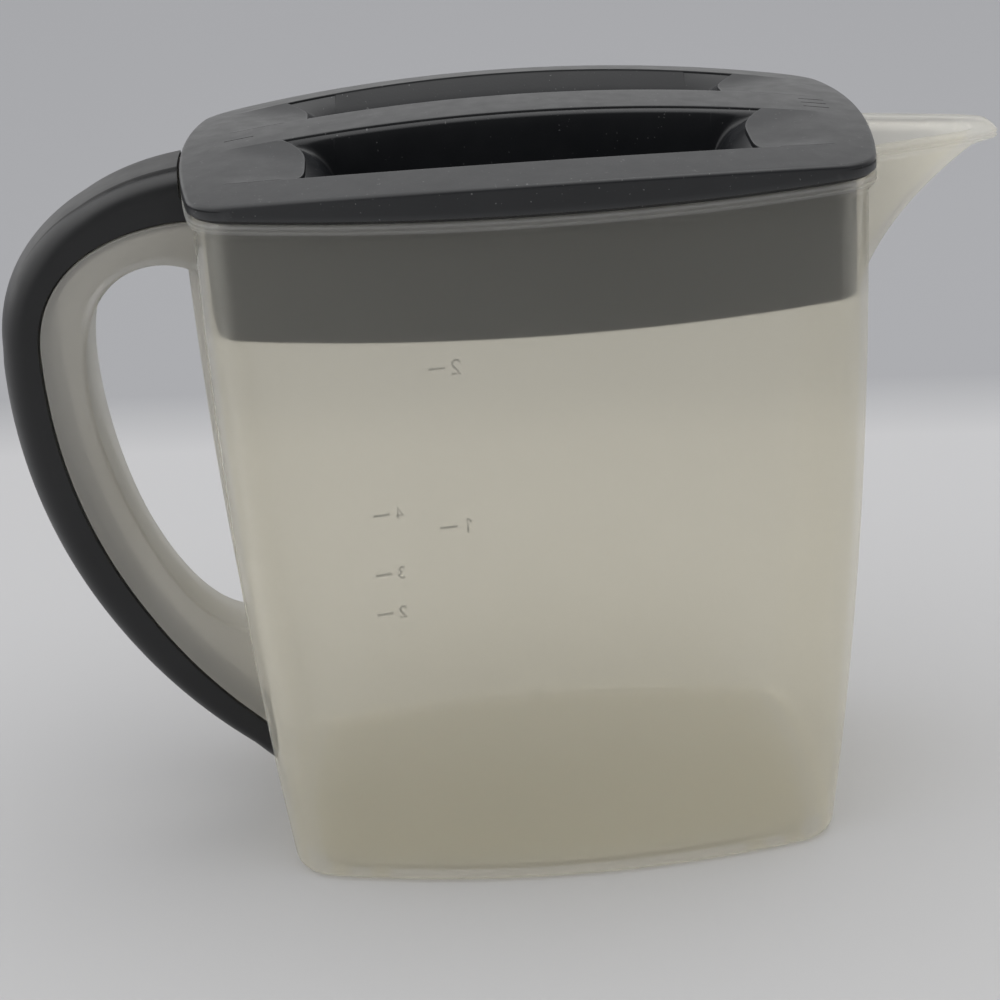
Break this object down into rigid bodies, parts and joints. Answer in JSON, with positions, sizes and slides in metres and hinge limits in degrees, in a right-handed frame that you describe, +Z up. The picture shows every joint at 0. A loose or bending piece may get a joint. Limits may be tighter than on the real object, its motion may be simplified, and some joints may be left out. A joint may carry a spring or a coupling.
{
  "type": "iced tea pitcher",
  "caption": "Translucent bowed pitcher with a pointed spout, a channel handle with a dark grip cover, and a dark lift-off lid with a grip bar between finger wells.",
  "frame": {"origin": "centre of the foot on the table plane", "axes": "+Z up, +X towards the spout, -X towards the handle, +Y across the body"},
  "size_m": [0.2737, 0.1442, 0.2009],
  "materials": {
    "natural_plastic": "translucent satin",
    "grip_plastic": "satin",
    "lid_plastic": "fine matte texture"
  },
  "bodies": {
    "pitcher": {"pitcher_body": "natural_plastic", "handle_grip": "grip_plastic"},
    "lid": {"lid": "lid_plastic"}
  },
  "joints": [
    {"name": "lid_lift", "type": "slide", "parent": "pitcher", "child": "lid", "axis": [0, 0, 1], "range_m": [0, 0.08]}
  ]
}
